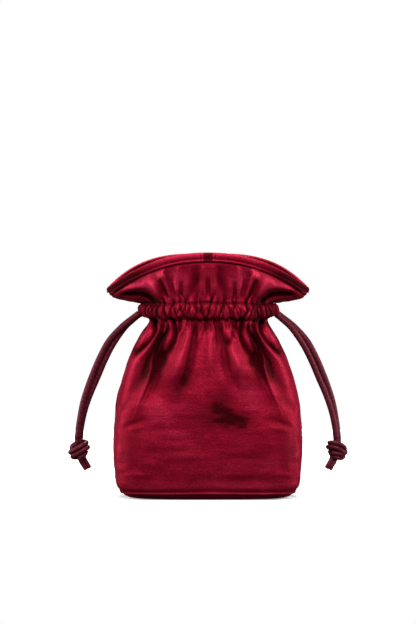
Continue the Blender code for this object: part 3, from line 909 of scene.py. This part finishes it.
def rimFrame():
    # the rim's edge with its directions, right round the mouth
    edge = np.vstack([panels[name][-1, :-1] for name in ("front", "back")])
    below = np.vstack([panels[name][-7, :-1] for name in ("front", "back")])
    for line in (edge, below):
        for _ in range(3):
            line[:] = 0.5 * line + 0.25 * (np.roll(line, 1, axis=0) + np.roll(line, -1, axis=0))
    upward = edge - below
    upward /= np.linalg.norm(upward, axis=1)[:, None]
    along = np.roll(edge, -1, axis=0) - np.roll(edge, 1, axis=0)
    out = np.cross(along / np.linalg.norm(along, axis=1)[:, None], upward)
    out /= np.linalg.norm(out, axis=1)[:, None]
    return edge, upward, out


def tipShare(edge):
    # the band narrows where it turns at the side seams
    return 1.0 - binding["tipNarrows"] * smoothStep((np.abs(edge[:, 0]) - 92.0) / 6.0)


def sumOfBells(places, distance):
    return sum(amount * bell((distance - place) / width) for place, amount, width in places)


def bandShade(across, rise, fromJoin, side, front):
    # painted shade at the join, in the stitched groove, at the sides and on the inner face; painted highlight
    # along its edges
    shade = np.where(fromJoin < binding["joinHalf"], binding["joinShade"], 0.0) - 0.50 * side * (rise < 0.9)
    shade = shade + sumOfBells(binding["pleatShade"], fromJoin) - 0.36 * side * front + 0.06
    shade = shade + 0.12 * bell((rise + 6.1) / 0.8) - 0.45 * bell((rise + 4.7) / 0.5) * (across > 0.5)
    return shade + 0.20 * (rise > 0.9) - 0.5 * (across < -0.5) * (rise < 0.5)


def makeBinding():
    edge, upward, out = rimFrame()
    tip = tipShare(edge)
    swell = 1.0 + 0.10 * softNoise(np.arange(len(edge)) * 1.0, np.zeros(len(edge)), 9.0, 1.0, 19)
    front = edge[:, 1] < 0.0
    fromJoin = np.where(front, np.abs(edge[:, 0]), 99.0)
    dent = binding["joinDent"] * smoothStep((binding["joinHalf"] - fromJoin) / 0.8 + 0.5)
    pleat = sumOfBells(binding["pleats"], fromJoin)
    side = smoothStep((np.abs(edge[:, 0]) - 45.0) / 45.0)
    rows, bandShading = [], []
    for across, rise in binding["section"] + binding["section"][:1]:
        amount = across * swell + (pleat - dent) * (across > 0.5 and rise > -5.0)
        lift = rise * (tip if rise < 0.0 else np.ones_like(tip))
        rows.append(edge + out * amount[:, None] + upward * lift[:, None])
        # painted shade and painted highlight on the band
        bandShading.append(bandShade(across, rise, fromJoin, side, front))
    rows = np.array(rows)
    bandShading = np.array(bandShading)
    points = np.concatenate([rows, rows[:, :1]], axis=1)
    bandShading = np.concatenate([bandShading, bandShading[:, :1]], axis=1)
    bm = gridMesh(points, bandShading)
    bmesh.ops.remove_doubles(bm, verts=bm.verts, dist=0.000002)
    bmesh.ops.recalc_face_normals(bm, faces=bm.faces)
    piece = finishPiece("rim_band", bm, bindingVelvet, ["rim_binding"])
    return edge, upward, out


print("rim binding")
rim = makeBinding()


stitching = {
    "pitch": 2.6, "length": 1.7, "thickness": 0.55,
    # how far the rows lie out from the cloth, and from the rim's edge line on its two sides
    "offCloth": 0.15, "bandOuter": 1.2, "bandInner": 2.85,
}


def addStitch(bm, place, direction, up):
    # one short rounded stitch lying along a direction
    turn = Matrix((direction, np.cross(up, direction), up)).transposed().to_4x4()
    halfLength, halfThickness = stitching["length"] / 2.0 * mm, stitching["thickness"] / 2.0 * mm
    size = Matrix.Diagonal((halfLength, halfThickness, halfThickness, 1.0))
    matrix = Matrix.Translation(Vector(place) * mm) @ turn @ size
    bmesh.ops.create_uvsphere(bm, u_segments=6, v_segments=5, radius=1.0, matrix=matrix)


def makeStitches(name, lines):
    # each line is points with the direction away from the cloth
    bm = bmesh.new()
    bm.loops.layers.uv.new("UVMap")
    bm.verts.layers.float.new("napAndShade")
    for points, away in lines:
        reach = np.concatenate(([0.0], np.cumsum(np.linalg.norm(np.diff(points, axis=0), axis=1))))
        for along in np.arange(stitching["pitch"], reach[-1] - stitching["pitch"], stitching["pitch"]):
            place = np.array([np.interp(along, reach, points[:, k]) for k in range(3)])
            ahead = np.array([np.interp(along + 0.8, reach, points[:, k]) for k in range(3)])
            up = np.array([np.interp(along, reach, away[:, k]) for k in range(3)])
            direction = (ahead - place) / np.linalg.norm(ahead - place)
            up = up - direction * np.dot(up, direction)
            up /= np.linalg.norm(up)
            addStitch(bm, place, direction, up)
    return finishPiece(name, bm, thread)


def closedLine(line):
    return np.vstack([line, line[:1]])


def rimStitchLines():
    edge, upward, out = rim
    row = edge + upward * (binding["stitchRow"] * tipShare(edge))[:, None]
    outer, inner = row + out * stitching["bandOuter"], row - out * stitching["bandInner"]
    return [(closedLine(outer), closedLine(out)), (closedLine(inner), closedLine(-out))]


def casingStitchLines():
    lines = []
    casingRow = sum(shell["rowsPerSpan"][:shell["casingSpan"]])
    for name in ("front", "back"):
        points = panels[name]
        normal = outward(points)
        lift = np.linalg.norm(np.diff(points, axis=0), axis=2)
        heights = np.vstack([np.zeros(lift.shape[1]), np.cumsum(lift, axis=0)])
        heights = heights - heights[casingRow]
        x = points[casingRow, :, 0] * panelSettings[name]["turn"][0]
        columns = np.arange(points.shape[1])[8:-8]  # none across the cord holes
        for wanted in (np.full_like(x, shell["casingHalf"]), -shell["casingHalf"] - casingDip(x)):
            rows = np.abs(heights - wanted).argmin(axis=0)[8:-8]
            away = normal[rows, columns]
            lines.append((points[rows, columns] + away * stitching["offCloth"], away))
    return lines


print("stitches")
makeStitches("rim_stitches", rimStitchLines())
makeStitches("casing_stitches", casingStitchLines())


base = {
    # height, half width, half depth, power
    "stations": [
        (0.0, 70.0, 25.0, 3.6), (0.35, 74.5, 29.0, 3.8), (1.3, 79.0, 33.0, 4.0), (3.2, 83.0, 36.0, 4.3),
        (5.6, 85.3, 37.8, 4.5),
    ],
    "steps": 4, "thickness": 1.0, "wave": 0.18, "waveTop": 2.0,
}


def makeBase():
    rows = []
    for height, width, depth, power in smoothCurve(base["stations"], base["steps"]):
        x, y, _ = halfRing(width, depth, power)
        half = np.stack([x, y, np.full_like(x, height)], axis=1)
        ring = np.vstack([half[:-1], half * (-1.0, -1.0, 1.0)])
        wave = softNoise(ring[:, 0], ring[:, 1], 22.0, 22.0, 91) * base["wave"]
        ring[:, 2] += wave * min(height, base["waveTop"])
        rows.append(ring)
    bm = gridMesh(np.array(rows))
    bmesh.ops.remove_doubles(bm, verts=bm.verts, dist=0.000002)
    flat = [e for e in bm.edges if e.is_boundary and all(v.co.z < 0.0001 for v in e.verts)]
    bmesh.ops.contextual_create(bm, geom=flat)
    bmesh.ops.recalc_face_normals(bm, faces=bm.faces)
    if min(bm.faces, key=lambda face: face.calc_center_median().z).normal.z > 0.0:
        bmesh.ops.reverse_faces(bm, faces=bm.faces)
    piece = finishPiece("base_velvet", bm, velvet, ["base_panel"])
    giveThickness(piece, base["thickness"])


print("base")
makeBase()


strips = {
    # height at the middle and at the side seam, half width, half depth, power
    "stations": [
        (177.0, 177.5, 57.0, 25.8, 2.3), (182.0, 182.0, 59.4, 26.2, 2.3), (188.0, 187.0, 60.2, 26.2, 2.3),
        (192.5, 190.5, 60.8, 26.6, 2.3), (196.5, 193.0, 63.6, 28.6, 2.2),
    ],
    "steps": 6, "thickness": 0.8, "halfLength": 75.0, "middleHeight": 187.0, "setBack": 0.55, "seamGap": 0.75,
    "pleats": (0.55, 2.4, 14.0), "ripple": (0.25, 1.5, 6.0),
}


def makeStrip(name):
    points = []
    for middle, side, width, depth, power in smoothCurve(strips["stations"], strips["steps"]):
        x, y, _ = halfRing(width, depth, power)
        z = middle + (side - middle) * np.abs(x / width) ** 2
        points.append(np.stack([x, y, z], axis=1))
    points = np.array(points)
    across = np.linspace(-1.0, 1.0, points.shape[1])[None, :] * strips["halfLength"]
    up = points[:, :, 2] - strips["middleHeight"]
    relief = -strips["setBack"]
    for seed, (height, cellAcross, cellUp) in ((61, strips["pleats"]), (62, strips["ripple"])):
        relief = relief + height * softNoise(across, up, cellAcross, cellUp, seed)
    points = points + outward(points) * relief[:, :, None]
    points[:, (0, -1), 1] = -strips["seamGap"]
    bm = gridMesh(points * panelSettings[name]["turn"])
    piece = finishPiece(f"{name}_channel_cloth", bm, casingCloth, [f"{name}_casing_strip"])
    giveThickness(piece, strips["thickness"])


print("casing strips")
for name in ("front", "back"):
    makeStrip(name)
